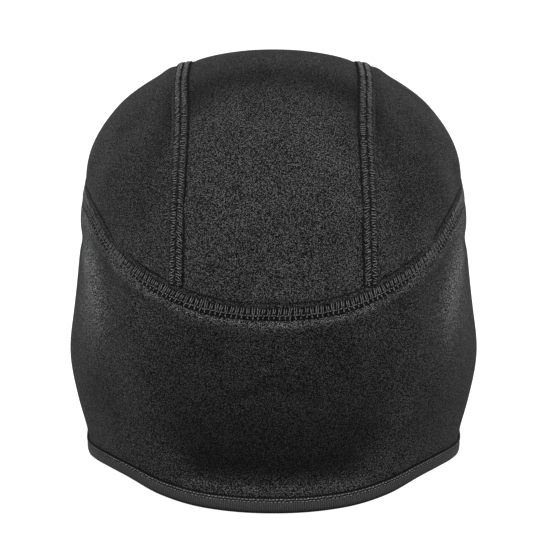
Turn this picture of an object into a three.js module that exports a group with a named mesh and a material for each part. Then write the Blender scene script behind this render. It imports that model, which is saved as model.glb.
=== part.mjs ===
// A close-fitting helmet liner cap, filled out as a head fills it.
// Millimetres, +Z up, +Y towards the wearer's face and +X towards the wearer's right.
// The origin is the inside of the crown's top, where the head bears.
import * as THREE from "three";

// The cap's overall reach, measured on the outside of the cloth
const capWidth = 173;
const backReach = 100;
const frontReach = 103;
const capHeight = 175;

// Cloth, seams and binding
const clothThickness = 1.5;
const panelGap = 0.3;
const crownSeamOffset = 39;
const seamWidth = 7.2;
const seamThickness = 0.8;
const seamGap = 0.3;
const bindingWidth = 5.8;
const bindingThickness = 0.8;
const bindingGap = 0.3;

// Soft relief of the worn cloth
const pinchDepth = 0.3;
const pinchSpread = 7;
const pinchFade = 28;
const earRise = 3;
const earSpread = 30;
const puffRise = 1.1;
const puffSpread = 4.5;
const foldRise = 1.5;
const foldSpread = 8;

// How full the level sections are behind and before the ears. 2 is an ellipse.
const backFullness = 2.25;
const frontFullness = 2.1;

// Level sections of the shell. Drop is a share of capHeight below the crown's outer top,
// width of half capWidth, back of backReach and front of frontReach.
const sections = [
  { drop: 0, width: 0, back: 0, front: 0 },
  { drop: 0.03, width: 0.405, back: 0.36, front: 0.36 },
  { drop: 0.07, width: 0.59, back: 0.53, front: 0.53 },
  { drop: 0.14, width: 0.775, back: 0.71, front: 0.71 },
  { drop: 0.24, width: 0.9, back: 0.86, front: 0.86 },
  { drop: 0.36, width: 0.93, back: 0.96, front: 0.95 },
  { drop: 0.5, width: 0.955, back: 1.0, front: 0.99 },
  { drop: 0.64, width: 0.97, back: 0.98, front: 1.0 },
  { drop: 0.74, width: 0.98, back: 0.94, front: 1.0 },
  { drop: 0.84, width: 0.955, back: 0.88, front: 0.98 },
  { drop: 0.93, width: 0.92, back: 0.845, front: 0.96 },
  { drop: 1.02, width: 0.91, back: 0.85, front: 0.95 },
];

// The seam between crown and band. Turn is in degrees from the nape to the forehead.
const bandSeamLine = [
  { turn: 0, drop: 0.49 },
  { turn: 15, drop: 0.48 },
  { turn: 30, drop: 0.44 },
  { turn: 45, drop: 0.39 },
  { turn: 60, drop: 0.335 },
  { turn: 80, drop: 0.32 },
  { turn: 110, drop: 0.31 },
  { turn: 180, drop: 0.31 },
];

// The lower edge, binding included: low over nape and ears, higher over the forehead
const hemLine = [
  { turn: 0, drop: 1.0 },
  { turn: 20, drop: 0.993 },
  { turn: 33, drop: 0.978 },
  { turn: 45, drop: 0.957 },
  { turn: 56, drop: 0.954 },
  { turn: 68, drop: 0.964 },
  { turn: 80, drop: 0.978 },
  { turn: 92, drop: 0.975 },
  { turn: 106, drop: 0.94 },
  { turn: 128, drop: 0.85 },
  { turn: 152, drop: 0.765 },
  { turn: 180, drop: 0.735 },
];

// Soft folds and dents, the same on both sides. Each runs from one place to another,
// rise is a share of foldRise, negative for a dent, and spread a share of foldSpread.
const folds = [
  { fromTurn: 58, fromDrop: 0.15, toTurn: 68, toDrop: 0.24, rise: -0.8, spread: 1.2 },
  { fromTurn: 60, fromDrop: 0.385, toTurn: 84, toDrop: 0.385, rise: 0.7, spread: 0.75 },
  { fromTurn: 66, fromDrop: 0.425, toTurn: 90, toDrop: 0.45, rise: -0.4, spread: 0.5 },
  { fromTurn: 66, fromDrop: 0.44, toTurn: 52, toDrop: 0.54, rise: 0.6, spread: 0.7 },
  { fromTurn: 11, fromDrop: 0.555, toTurn: 15, toDrop: 0.585, rise: -0.7, spread: 1.2 },
  { fromTurn: 0, fromDrop: 0.86, toTurn: 28, toDrop: 0.85, rise: -0.8, spread: 1.8 },
];

// Where the ear fills the band: degrees from the nape, and a share of capHeight
const earTurn = 94;
const earDrop = 0.74;

// Mesh fineness
const aroundSteps = 86;
const crownSteps = 40;
const centreRows = 8;
const sideRows = 8;
const bandRows = 8;
const roundSteps = 3;

// Rays start from a place inside the shell, at a share of capHeight below the crown's top.
const centreDrop = 0.45;
const shellCentre = new THREE.Vector3(0, 0, clothThickness - capHeight * centreDrop);
const rayReach = 2 * Math.max(capWidth, backReach, frontReach, capHeight);

// How often a search halves its range, how far apart slopes are measured in radians, and how
// far below level a search for the ends of a crown line starts
const halvings = 40;
const probe = 0.004;
const crownOverrun = THREE.MathUtils.degToRad(30);

const radians = THREE.MathUtils.degToRad;
const heightAt = (drop) => clothThickness - drop;
const mirrored = (point, side) => point.clone().setX(side * point.x);

// The value of one column at a place, on a smooth curve through the rows
function smoothValue(rows, key, column, at, levelEnds) {
  const last = rows.length - 1;
  const slope = (i) => {
    if (levelEnds && (i === 0 || i === last)) return 0;
    const before = rows[Math.max(i - 1, 0)];
    const after = rows[Math.min(i + 1, last)];
    return (after[column] - before[column]) / (after[key] - before[key]);
  };
  let i = 0;
  while (i < last - 1 && at > rows[i + 1][key]) i += 1;
  const span = rows[i + 1][key] - rows[i][key];
  const t = THREE.MathUtils.clamp((at - rows[i][key]) / span, 0, 1);
  const [t2, t3] = [t * t, t * t * t];
  return (
    (2 * t3 - 3 * t2 + 1) * rows[i][column] +
    (t3 - 2 * t2 + t) * span * slope(i) +
    (3 * t2 - 2 * t3) * rows[i + 1][column] +
    (t3 - t2) * span * slope(i + 1)
  );
}

// Squares of the reaches make the crown's top round, because they grow evenly from nothing.
const squaredSections = sections.map(({ drop, width, back, front }) => ({
  drop,
  width: width * width,
  back: back * back,
  front: front * front,
}));

// How far the shell's base form reaches from the upright axis, at a turn and a drop
function planReach(turn, drop) {
  const share = drop / capHeight;
  const reach = (column, size) =>
    size * Math.sqrt(smoothValue(squaredSections, "drop", column, share, false));
  const rearward = Math.cos(turn) > 0;
  const fullness = rearward ? backFullness : frontFullness;
  const sideways = Math.abs(Math.sin(turn)) / reach("width", capWidth / 2);
  const along =
    Math.abs(Math.cos(turn)) / (rearward ? reach("back", backReach) : reach("front", frontReach));
  return (sideways ** fullness + along ** fullness) ** (-1 / fullness);
}

const turnOf = (point) => Math.atan2(point.x, -point.y);
const dropOf = (point) => clothThickness - point.z;

function isInside(point) {
  const drop = dropOf(point);
  return drop > 0 && Math.hypot(point.x, point.y) < planReach(turnOf(point), drop);
}

// Where a ray from inside the shell meets its base form
function castRay(start, direction) {
  let near = 0;
  let far = rayReach;
  const point = new THREE.Vector3();
  for (let i = 0; i < halvings; i += 1) {
    const middle = (near + far) / 2;
    point.copy(start).addScaledVector(direction, middle);
    if (isInside(point)) near = middle;
    else far = middle;
  }
  return point;
}

const fromCentre = (direction) => castRay(shellCentre, direction);

// The outward normal of the base form at a point on it
function normalAt(point) {
  const direction = point.clone().sub(shellCentre).normalize();
  const aside = new THREE.Vector3(0, 0, 1);
  if (Math.abs(direction.z) > Math.SQRT1_2) aside.set(0, 1, 0);
  const first = aside.cross(direction).normalize();
  const second = direction.clone().cross(first);
  const nearby = (axis, amount) =>
    fromCentre(direction.clone().addScaledVector(axis, amount).normalize());
  const alongFirst = nearby(first, probe).sub(nearby(first, -probe));
  const alongSecond = nearby(second, probe).sub(nearby(second, -probe));
  return alongFirst.cross(alongSecond).normalize();
}

const lineDrop = (line, turn) =>
  capHeight * smoothValue(line, "turn", "drop", Math.abs(THREE.MathUtils.radToDeg(turn)), true);
const seamDrop = (turn) => lineDrop(bandSeamLine, turn);
const hemDrop = (turn) => lineDrop(hemLine, turn);

const swell = (distance, spread) => Math.exp(-((distance / spread) ** 2));

// Distance on the shell from a place to the nearest place of a fold, near enough for a soft form
function foldDistance(fold, turn, drop, reach) {
  const [u0, v0] = [radians(fold.fromTurn) * reach, fold.fromDrop * capHeight];
  const [u1, v1] = [radians(fold.toTurn) * reach, fold.toDrop * capHeight];
  const [u, v] = [Math.abs(turn) * reach - u0, drop - v0];
  const length2 = (u1 - u0) ** 2 + (v1 - v0) ** 2;
  const t = THREE.MathUtils.clamp((u * (u1 - u0) + v * (v1 - v0)) / length2, 0, 1);
  return Math.hypot(u - t * (u1 - u0), v - t * (v1 - v0));
}

// How far the worn cloth stands off the base form: pulled in along the crown seams, pushed out by
// the ears, puffed out under the band seam, and folded
function reliefAt(point) {
  const turn = turnOf(point);
  const drop = dropOf(point);
  const reach = Math.hypot(point.x, point.y);
  const belowSeam = drop - seamDrop(turn);
  const onCrown = THREE.MathUtils.smoothstep(-belowSeam, 0, pinchFade);
  const pinch = pinchDepth * onCrown * swell(Math.abs(point.x) - crownSeamOffset, pinchSpread);
  const earAside = (Math.abs(turn) - radians(earTurn)) * reach;
  const ear = earRise * swell(Math.hypot(earAside, drop - earDrop * capHeight), earSpread);
  const puff = puffRise * swell(belowSeam - seamWidth / 2 - puffSpread / 2, puffSpread);
  const folded = folds.reduce(
    (sum, fold) =>
      sum + fold.rise * swell(foldDistance(fold, turn, drop, reach), fold.spread * foldSpread),
    0,
  );
  return ear + puff - pinch + foldRise * folded;
}

// A point of the real shell over a point of the base form, standing off the cloth's outside
function standOff(basePoint, offset) {
  const rise = reliefAt(basePoint) + offset;
  return basePoint.clone().addScaledVector(normalAt(basePoint), rise);
}

// Base form points on the three kinds of line that the pieces follow
const atTurn = (turn, drop) =>
  castRay(
    new THREE.Vector3(0, 0, heightAt(drop)),
    new THREE.Vector3(Math.sin(turn), -Math.cos(turn), 0),
  );
const overCrown = (x, angle) =>
  castRay(
    new THREE.Vector3(x, 0, shellCentre.z),
    new THREE.Vector3(0, -Math.cos(angle), Math.sin(angle)),
  );
const between = (from, to, t) => {
  const a = from.clone().sub(shellCentre).normalize();
  const b = to.clone().sub(shellCentre).normalize();
  const angle = a.angleTo(b);
  const direction = a
    .multiplyScalar(Math.sin((1 - t) * angle))
    .addScaledVector(b, Math.sin(t * angle));
  return fromCentre(direction.normalize());
};

// The lines that seams and edges follow, on the base form
const bandSeamCurve = (turn) => atTurn(turn, seamDrop(turn));
const hemCurve = (turn) => atTurn(turn, hemDrop(turn));
const crownSeamCurve = (angle) => overCrown(crownSeamOffset, angle);

// A base form point at a distance across such a line, upwards or towards the cap's middle
function beside(curve, at, across) {
  const point = curve(at);
  const along = curve(at + probe).sub(curve(at - probe));
  const aside = normalAt(point).cross(along).normalize();
  return fromCentre(point.addScaledVector(aside, across).sub(shellCentre).normalize());
}

// How much further the band seam's line runs than a level one, where it slopes
function seamSlant(turn) {
  const run = bandSeamCurve(turn + probe).sub(bandSeamCurve(turn - probe));
  return run.length() / Math.hypot(run.x, run.y);
}

// The angle over the crown, at a sideways place, where the shell is a set height above the
// band seam's line. End is 0 at the nape and 1 at the forehead.
function crownEndAngle(x, heightAboveSeam, end) {
  let low = end ? Math.PI / 2 : -crownOverrun;
  let high = end ? Math.PI + crownOverrun : Math.PI / 2;
  for (let i = 0; i < halvings; i += 1) {
    const middle = (low + high) / 2;
    const point = overCrown(x, middle);
    const above = seamDrop(turnOf(point)) - dropOf(point) > heightAboveSeam;
    if (above === Boolean(end)) low = middle;
    else high = middle;
  }
  return (low + high) / 2;
}

// A line over the crown at one sideways place, from nape to forehead
function crownLine(x, heightAboveSeam) {
  const start = crownEndAngle(x, heightAboveSeam, 0);
  const end = crownEndAngle(x, heightAboveSeam, 1);
  return steps(crownSteps).map((t) => overCrown(x, start + (end - start) * t));
}

function steps(count) {
  return Array.from({ length: count + 1 }, (_, i) => i / count);
}

// One closed body from rings of points: each ring is a closed outline, and rings follow each
// other along the piece. A loop joins its last ring to its first. An open piece is capped by
// pairing the outline's two halves, as a wall's outside and inside pair up.
function solidFromRings(rings, isLoop) {
  const count = rings[0].length;
  const positions = rings.flatMap((ring) => ring.flatMap((point) => point.toArray()));
  const index = [];
  const bays = isLoop ? rings.length : rings.length - 1;
  for (let i = 0; i < bays; i += 1) {
    const here = i * count;
    const next = ((i + 1) % rings.length) * count;
    for (let j = 0; j < count; j += 1) {
      const k = (j + 1) % count;
      index.push(here + j, next + j, next + k, here + j, next + k, here + k);
    }
  }
  if (!isLoop) {
    const last = (rings.length - 1) * count;
    for (let j = 0; j < count / 2 - 1; j += 1) {
      const [a, b, c, d] = [j, j + 1, count - 2 - j, count - 1 - j];
      index.push(a, b, c, a, c, d);
      index.push(last + a, last + c, last + b, last + a, last + d, last + c);
    }
  }
  const geometry = new THREE.BufferGeometry();
  geometry.setAttribute("position", new THREE.Float32BufferAttribute(positions, 3));
  geometry.setIndex(index);
  if (signedVolume(positions, index) < 0) {
    geometry.setIndex(index.map((_, i) => index[3 * Math.floor(i / 3) + (2 - (i % 3))]));
  }
  geometry.computeVertexNormals();
  return geometry;
}

function signedVolume(positions, index) {
  const corner = (i) => new THREE.Vector3().fromArray(positions, 3 * index[i]);
  let volume = 0;
  for (let i = 0; i < index.length; i += 3) {
    volume += corner(i).dot(corner(i + 1).cross(corner(i + 2))) / 6;
  }
  return volume;
}

// A cloth wall through lines of base form points, its outside on the shell
const clothWall = (lines, isLoop) =>
  solidFromRings(
    lines.map((line) => [
      ...line.map((point) => standOff(point, 0)),
      ...line.map((point) => standOff(point, -clothThickness)).reverse(),
    ]),
    isLoop,
  );

// The flattened, round-edged section of a covered seam over the joint of two panels. Across is
// a share of half seamWidth and height of seamThickness.
const seamSection = [
  { across: -1, height: 0.15 },
  { across: -0.7, height: 1 },
  { across: 0, height: 1 },
  { across: 0.7, height: 1 },
  { across: 1, height: 0.15 },
  { across: 1, height: 0 },
  { across: 0, height: 0 },
  { across: -1, height: 0 },
];

// One outline of a covered seam. The place function gives a base form point for a distance
// across the seam.
const seamRing = (place) =>
  seamSection.map(({ across, height }) =>
    standOff(place((across * seamWidth) / 2), seamGap + height * seamThickness),
  );

function crownCentrePanel() {
  const halfWidth = crownSeamOffset - panelGap / 2;
  const lines = steps(centreRows).map((t) =>
    crownLine(halfWidth * (2 * t - 1), panelGap / 2),
  );
  return clothWall(
    steps(crownSteps).map((_, i) => lines.map((line) => line[i])),
    false,
  );
}

// The turn, from nape or forehead, where the band seam's line lies at a sideways place
function turnAtSideways(x, end) {
  let low = 0;
  let high = Math.PI / 2;
  for (let i = 0; i < halvings; i += 1) {
    const middle = (low + high) / 2;
    const turn = end ? Math.PI - middle : middle;
    if (atTurn(turn, seamDrop(turn)).x < x) low = middle;
    else high = middle;
  }
  return end ? Math.PI - low : low;
}

// A side panel of the crown: its upper edge runs beside the crown seam and its lower edge along
// the band seam, and both tips are cut blunt under the seams.
function crownSidePanel(side) {
  const tip = seamWidth / 4;
  const upper = crownLine(crownSeamOffset + panelGap / 2, tip + panelGap / 2);
  const start = turnAtSideways(crownSeamOffset + tip, 0);
  const end = turnAtSideways(crownSeamOffset + tip, 1);
  const lower = steps(crownSteps).map((t) => {
    const turn = start + (end - start) * t;
    return atTurn(turn, seamDrop(turn) - panelGap / 2);
  });
  return clothWall(
    upper.map((top, i) => steps(sideRows).map((t) => mirrored(between(top, lower[i], t), side))),
    false,
  );
}

// Turns all the way round, with none twice
const allTurns = Array.from(
  { length: aroundSteps },
  (_, i) => (2 * Math.PI * i) / aroundSteps - Math.PI,
);

// The band reaches down into the binding, with its last row inside the binding's fold
function lowerBand() {
  return clothWall(
    allTurns.map((turn) => {
      const top = seamDrop(turn) + panelGap / 2;
      const bound = beside(hemCurve, turn, bindingWidth);
      const rows = steps(bandRows - 1).map((t) =>
        t === 1 ? bound : atTurn(turn, top + (dropOf(bound) - top) * t),
      );
      return [...rows, beside(hemCurve, turn, bindingThickness + bindingGap)];
    }),
    true,
  );
}

function bandSeam() {
  return solidFromRings(
    allTurns.map((turn) => seamRing((across) => beside(bandSeamCurve, turn, across))),
    true,
  );
}

// A seam of the crown, whose ends follow the upper edge of the band seam
function crownSeam(side) {
  const clearance = (seamWidth / 2 + seamGap) * seamSlant(turnAtSideways(crownSeamOffset, 0));
  const angleAt = (across, t) => {
    const start = crownEndAngle(crownSeamOffset - across, clearance, 0);
    const end = crownEndAngle(crownSeamOffset - across, clearance, 1);
    return start + (end - start) * t;
  };
  return solidFromRings(
    steps(crownSteps).map((t) =>
      seamRing((across) => mirrored(beside(crownSeamCurve, angleAt(across, t), across), side)),
    ),
    false,
  );
}

// The binding's section, folded round the band's edge: offset is from the cloth's outside, and
// height from the hem's lowest line
function bindingSection() {
  const outside = bindingGap + bindingThickness;
  const inside = -clothThickness - outside;
  const radius = (outside - inside) / 2;
  const round = steps(roundSteps).map((t) => ({
    offset: (outside + inside) / 2 + radius * Math.cos(Math.PI * t),
    height: radius - radius * Math.sin(Math.PI * t),
  }));
  return [
    { offset: outside, height: bindingWidth },
    ...round,
    { offset: inside, height: bindingWidth },
    { offset: -clothThickness - bindingGap, height: bindingWidth },
    { offset: -clothThickness - bindingGap, height: bindingThickness },
    { offset: bindingGap, height: bindingThickness },
    { offset: bindingGap, height: bindingWidth },
  ];
}

function hemBinding() {
  const section = bindingSection();
  return solidFromRings(
    allTurns.map((turn) =>
      section.map(({ offset, height }) => standOff(beside(hemCurve, turn, height), offset)),
    ),
    true,
  );
}

const cloth = new THREE.MeshStandardMaterial({ color: 0x2c2d2e, roughness: 0.95, metalness: 0 });
const thread = new THREE.MeshStandardMaterial({ color: 0x1f2021, roughness: 0.8, metalness: 0 });
const tape = new THREE.MeshStandardMaterial({ color: 0x333435, roughness: 0.85, metalness: 0 });

function piece(name, geometry, material) {
  const mesh = new THREE.Mesh(geometry, material);
  mesh.name = name;
  return mesh;
}

const cap = new THREE.Group();
cap.add(piece("crown_centre_panel", crownCentrePanel(), cloth));
cap.add(piece("lower_band", lowerBand(), cloth));
cap.add(piece("band_seam", bandSeam(), thread));
cap.add(piece("hem_binding", hemBinding(), tape));
for (const [label, side] of [
  ["left", -1],
  ["right", 1],
]) {
  cap.add(piece(`crown_side_panel_${label}`, crownSidePanel(side), cloth));
  cap.add(piece(`crown_seam_${label}`, crownSeam(side), thread));
}

export default cap;
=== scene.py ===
"""Dresses the helmet liner cap in knit cloth, covered seams, stitches and a bound hem.

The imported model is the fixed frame. Every piece is made flat and then laid over the same head
form as its solid, with the same sizes, so each lies where its solid lies. Sizes on the form are
in millimetres, and finished meshes are in metres.
"""

import logging
import math
from dataclasses import dataclass, field, replace
from enum import Enum
from typing import Callable

import bpy
import numpy as np
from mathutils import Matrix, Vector


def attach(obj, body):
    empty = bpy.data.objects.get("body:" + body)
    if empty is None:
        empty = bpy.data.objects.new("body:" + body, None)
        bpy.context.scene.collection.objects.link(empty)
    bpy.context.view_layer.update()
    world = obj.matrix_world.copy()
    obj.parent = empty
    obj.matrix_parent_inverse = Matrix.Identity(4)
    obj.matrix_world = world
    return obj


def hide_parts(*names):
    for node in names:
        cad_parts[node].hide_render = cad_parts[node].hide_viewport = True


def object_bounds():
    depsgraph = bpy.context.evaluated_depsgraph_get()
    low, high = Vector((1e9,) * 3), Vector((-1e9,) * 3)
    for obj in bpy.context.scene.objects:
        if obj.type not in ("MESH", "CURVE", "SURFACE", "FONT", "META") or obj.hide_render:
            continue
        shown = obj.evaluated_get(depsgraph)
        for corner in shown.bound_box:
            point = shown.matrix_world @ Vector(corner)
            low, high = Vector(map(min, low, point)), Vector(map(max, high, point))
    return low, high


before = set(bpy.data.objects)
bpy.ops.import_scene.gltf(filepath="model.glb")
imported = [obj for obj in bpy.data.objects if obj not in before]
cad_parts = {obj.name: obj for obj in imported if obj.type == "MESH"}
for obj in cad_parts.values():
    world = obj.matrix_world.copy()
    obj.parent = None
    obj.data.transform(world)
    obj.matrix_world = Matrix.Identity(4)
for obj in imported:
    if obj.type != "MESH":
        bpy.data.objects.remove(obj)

LOG = logging.getLogger("liner_cap")
CAD_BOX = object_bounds()
METRES = 0.001
MERGE_DISTANCE = 1e-6
TONE = "tone"

Points = np.ndarray
Values = np.ndarray


class Side(Enum):
    """The wearer's left and right, as the sign of X."""

    LEFT = -1
    RIGHT = 1


class Lie(Enum):
    """How a stitch lies in its row: along the seam or across it."""

    ALONG = 0
    ACROSS = 1


def unit(vectors: Points) -> Points:
    """Gives each vector a length of one."""
    return vectors / np.linalg.norm(vectors, axis=-1, keepdims=True)


def swell(distance: Values, spread: float) -> Values:
    """Gives a soft bell of height one, as wide as spread."""
    return np.exp(-((distance / spread) ** 2))


def smooth_step(value: Values, low: float, high: float) -> Values:
    """Goes smoothly from 0 at low to 1 at high."""
    share = np.clip((value - low) / (high - low), 0.0, 1.0)
    return share * share * (3.0 - 2.0 * share)


@dataclass(frozen=True)
class ProfileCurve:
    """A smooth curve through a short table of places and values."""

    places: tuple[float, ...]
    values: tuple[float, ...]
    level_ends: bool = False

    def at(self, where: Values) -> Values:
        """Reads the curve.

        Args:
            where: the places to read it at.

        Returns:
            One value for each place.
        """
        places = np.array(self.places)
        values = np.array(self.values)
        slopes = np.empty_like(values)
        slopes[1:-1] = (values[2:] - values[:-2]) / (places[2:] - places[:-2])
        slopes[0] = (values[1] - values[0]) / (places[1] - places[0])
        slopes[-1] = (values[-1] - values[-2]) / (places[-1] - places[-2])
        if self.level_ends:
            slopes[0] = slopes[-1] = 0.0
        i = np.clip(np.searchsorted(places, where) - 1, 0, len(places) - 2)
        span = places[i + 1] - places[i]
        t = np.clip((where - places[i]) / span, 0.0, 1.0)
        t2, t3 = t * t, t * t * t
        rise = (2 * t3 - 3 * t2 + 1) * values[i] + (3 * t2 - 2 * t3) * values[i + 1]
        lean = (t3 - 2 * t2 + t) * slopes[i] + (t3 - t2) * slopes[i + 1]
        return rise + span * lean


@dataclass(frozen=True)
class Fold:
    """A soft fold or dent from one place of the cap to another, the same on both sides.

    Turns are in degrees from the nape, drops are shares of the cap's height, and rise and
    spread are in millimetres. A negative rise is a dent. The last field paints light into the
    colour along the fold, lighter where light falls, or paints shade, darker, where it is less than
    zero.
    """

    from_turn: float
    from_drop: float
    to_turn: float
    to_drop: float
    rise: float
    spread: float
    painted_light: float = 0.0


@dataclass(frozen=True)
class HeadForm:
    """The form that the worn cap takes, in millimetres, as the solids have it."""

    cap_width: float = 173.0
    back_reach: float = 100.0
    front_reach: float = 103.0
    cap_height: float = 175.0
    cloth: float = 1.5
    panel_gap: float = 0.3
    crown_seam_offset: float = 39.0
    seam_width: float = 7.2
    pinch_depth: float = 0.3
    pinch_spread: float = 7.0
    pinch_fade: float = 28.0
    ear_rise: float = 3.0
    ear_spread: float = 30.0
    ear_turn: float = 94.0
    ear_drop: float = 0.74
    puff_rise: float = 1.1
    puff_spread: float = 4.5
    back_fullness: float = 2.25
    front_fullness: float = 2.1
    centre_drop: float = 0.45
    ray_reach: float = 350.0
    halvings: int = 24
    probe: float = 0.004
    slope_step: float = 0.02
    over_back: float = -30.0
    over_top: float = 90.0
    over_front: float = 210.0
    section_drops: tuple[float, ...] = (
        0, 0.03, 0.07, 0.14, 0.24, 0.36, 0.5, 0.64, 0.74, 0.84, 0.93, 1.02,
    )
    section_widths: tuple[float, ...] = (
        0, 0.405, 0.59, 0.775, 0.9, 0.93, 0.955, 0.97, 0.98, 0.955, 0.92, 0.91,
    )
    section_backs: tuple[float, ...] = (
        0, 0.36, 0.53, 0.71, 0.86, 0.96, 1.0, 0.98, 0.94, 0.88, 0.845, 0.85,
    )
    section_fronts: tuple[float, ...] = (
        0, 0.36, 0.53, 0.71, 0.86, 0.95, 0.99, 1.0, 1.0, 0.98, 0.96, 0.95,
    )
    band_seam_line: ProfileCurve = ProfileCurve(
        (0, 15, 30, 45, 60, 80, 110, 180),
        (0.49, 0.48, 0.44, 0.39, 0.335, 0.32, 0.31, 0.31),
        level_ends=True,
    )
    hem_line: ProfileCurve = ProfileCurve(
        (0, 20, 33, 45, 56, 68, 80, 92, 106, 128, 152, 180),
        (1.0, 0.993, 0.978, 0.957, 0.954, 0.964, 0.978, 0.975, 0.94, 0.85, 0.765, 0.735),
        level_ends=True,
    )
    # A seventh number in a fold paints light into the cloth's colour, or painted shade where it is less
    # than zero.
    main_folds: tuple[Fold, ...] = (
        Fold(58, 0.15, 68, 0.24, -1.2, 9.6),
        Fold(60, 0.385, 84, 0.385, 1.05, 6.0, 0.25),
        Fold(66, 0.425, 90, 0.45, -0.6, 4.0),
        Fold(66, 0.44, 52, 0.54, 0.9, 5.6, 0.3),
        Fold(11, 0.555, 15, 0.585, -1.05, 9.6),
        Fold(0, 0.86, 28, 0.85, -1.2, 14.4, -0.25),
    )

    @property
    def centre(self) -> Points:
        """The place inside the form that rays start from."""
        return np.array([0.0, 0.0, self.cloth - self.cap_height * self.centre_drop])

    def turn_of(self, points: Points) -> Values:
        """Gives each point's turn in radians, from the nape towards the wearer's right."""
        return np.arctan2(points[:, 0], -points[:, 1])

    def drop_of(self, points: Points) -> Values:
        """Gives how far each point lies below the crown's outer top."""
        return self.cloth - points[:, 2]

    def squared_reach(self, turn: Values, drop: Values) -> Values:
        """Gives the square of the form's level reach from its upright axis.

        Args:
            turn: turns in radians.
            drop: drops in millimetres.

        Returns:
            One squared reach for each place.
        """
        share = drop / self.cap_height

        def column(values: tuple[float, ...], size: float) -> Values:
            """Reads one column of the sections.

            Args:
                values: the column, as shares of a size.
                size: the size in millimetres.

            Returns:
                One length for each place.
            """
            squares = tuple(value * value for value in values)
            curve = ProfileCurve(self.section_drops, squares)
            return size * np.sqrt(np.maximum(curve.at(share), 1e-12))

        rearward = np.cos(turn) > 0
        wide = column(self.section_widths, self.cap_width / 2)
        back = column(self.section_backs, self.back_reach)
        front = column(self.section_fronts, self.front_reach)
        long = np.where(rearward, back, front)
        power = np.where(rearward, self.back_fullness, self.front_fullness)
        total = (np.abs(np.sin(turn)) / wide) ** power + (np.abs(np.cos(turn)) / long) ** power
        return total ** (-2.0 / power)

    def excess(self, points: Points) -> Values:
        """Measures how far outside the form points lie, as a difference of squares."""
        level = points[:, 0] ** 2 + points[:, 1] ** 2
        return level - self.squared_reach(self.turn_of(points), self.drop_of(points))

    def cast(self, start: Points, direction: Points) -> Points:
        """Finds where rays from inside the form meet it.

        Args:
            start: where each ray starts, or one place for all.
            direction: each ray's direction, of length one.

        Returns:
            One point of the form for each ray.
        """
        near = np.zeros(len(direction))
        far = np.full(len(direction), self.ray_reach)
        points = start + direction * far[:, None]
        for _ in range(self.halvings):
            middle = (near + far) / 2
            points = start + direction * middle[:, None]
            inside = (self.drop_of(points) > 0) & (self.excess(points) < 0)
            near = np.where(inside, middle, near)
            far = np.where(inside, far, middle)
        return points

    def from_centre(self, points: Points) -> Points:
        """Moves points along the ray from the form's centre until they lie on the form."""
        return self.cast(self.centre, unit(points - self.centre))

    def normal(self, points: Points) -> Points:
        """Finds the form's outward normal.

        Args:
            points: points on the form.

        Returns:
            One vector of length one for each point.
        """
        step = self.slope_step
        slopes = []
        for axis in range(3):
            ahead = points.copy()
            behind = points.copy()
            behind[:, axis] -= step
            if axis < 2:
                ahead[:, axis] += step
                slopes.append((self.excess(ahead) - self.excess(behind)) / (2 * step))
            else:
                slopes.append((self.excess(ahead) - self.excess(behind)) / step)
        return unit(np.stack(slopes, axis=1))

    def seam_drop(self, turn: Values) -> Values:
        """Gives the drop of the seam between crown and band at each turn."""
        return self.cap_height * self.band_seam_line.at(np.abs(np.degrees(turn)))

    def hem_drop(self, turn: Values) -> Values:
        """Gives the drop of the cap's lowest edge at each turn."""
        return self.cap_height * self.hem_line.at(np.abs(np.degrees(turn)))

    def fold_distance(self, fold: Fold, turn: Values, drop: Values, reach: Values) -> Values:
        """Measures how far places lie from a fold, near enough for a soft form.

        Args:
            fold: the fold or dent.
            turn: the places' turns in radians.
            drop: the places' drops in millimetres.
            reach: the places' level distances from the form's axis.

        Returns:
            One distance in millimetres for each place.
        """
        u0 = np.radians(fold.from_turn) * reach
        u1 = np.radians(fold.to_turn) * reach
        v0 = fold.from_drop * self.cap_height
        v1 = fold.to_drop * self.cap_height
        u = np.abs(turn) * reach - u0
        v = drop - v0
        length2 = (u1 - u0) ** 2 + (v1 - v0) ** 2
        t = np.clip((u * (u1 - u0) + v * (v1 - v0)) / np.maximum(length2, 1e-9), 0.0, 1.0)
        return np.hypot(u - t * (u1 - u0), v - t * (v1 - v0))

    def relief(self, points: Points) -> Values:
        """Works out how far the worn cloth stands off the base form, as the solids have it.

        Args:
            points: points of the base form.

        Returns:
            One rise in millimetres for each point, less than zero in a dent.
        """
        turn = self.turn_of(points)
        drop = self.drop_of(points)
        reach = np.hypot(points[:, 0], points[:, 1])
        below = drop - self.seam_drop(turn)
        aside = np.abs(points[:, 0]) - self.crown_seam_offset
        pinch = self.pinch_depth * smooth_step(-below, 0.0, self.pinch_fade)
        ear_aside = (np.abs(turn) - math.radians(self.ear_turn)) * reach
        ear_below = drop - self.ear_drop * self.cap_height
        rise = self.ear_rise * swell(np.hypot(ear_aside, ear_below), self.ear_spread)
        rise += self.puff_rise * swell(
            below - self.seam_width / 2 - self.puff_spread / 2, self.puff_spread
        )
        rise -= pinch * swell(aside, self.pinch_spread)
        for fold in self.main_folds:
            rise += fold.rise * swell(self.fold_distance(fold, turn, drop, reach), fold.spread)
        return rise

    def stand_off(self, points: Points, height: Values | float) -> Points:
        """Moves points of the base form out by the relief and a height above the cloth."""
        rise = self.relief(points) + height
        return points + self.normal(points) * np.reshape(rise, (-1, 1))

    def at_turn(self, turn: Values, drop: Values) -> Points:
        """Gives base form points at turns and drops."""
        start = np.stack([0 * turn, 0 * turn, self.cloth - drop], axis=1)
        return self.cast(start, np.stack([np.sin(turn), -np.cos(turn), 0 * turn], axis=1))

    def over_crown(self, x: Values, angle: Values) -> Points:
        """Gives base form points at sideways places and angles over the crown."""
        start = np.stack([x, 0 * x, np.full(len(x), self.centre[2])], axis=1)
        return self.cast(start, np.stack([0 * x, -np.cos(angle), np.sin(angle)], axis=1))

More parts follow.
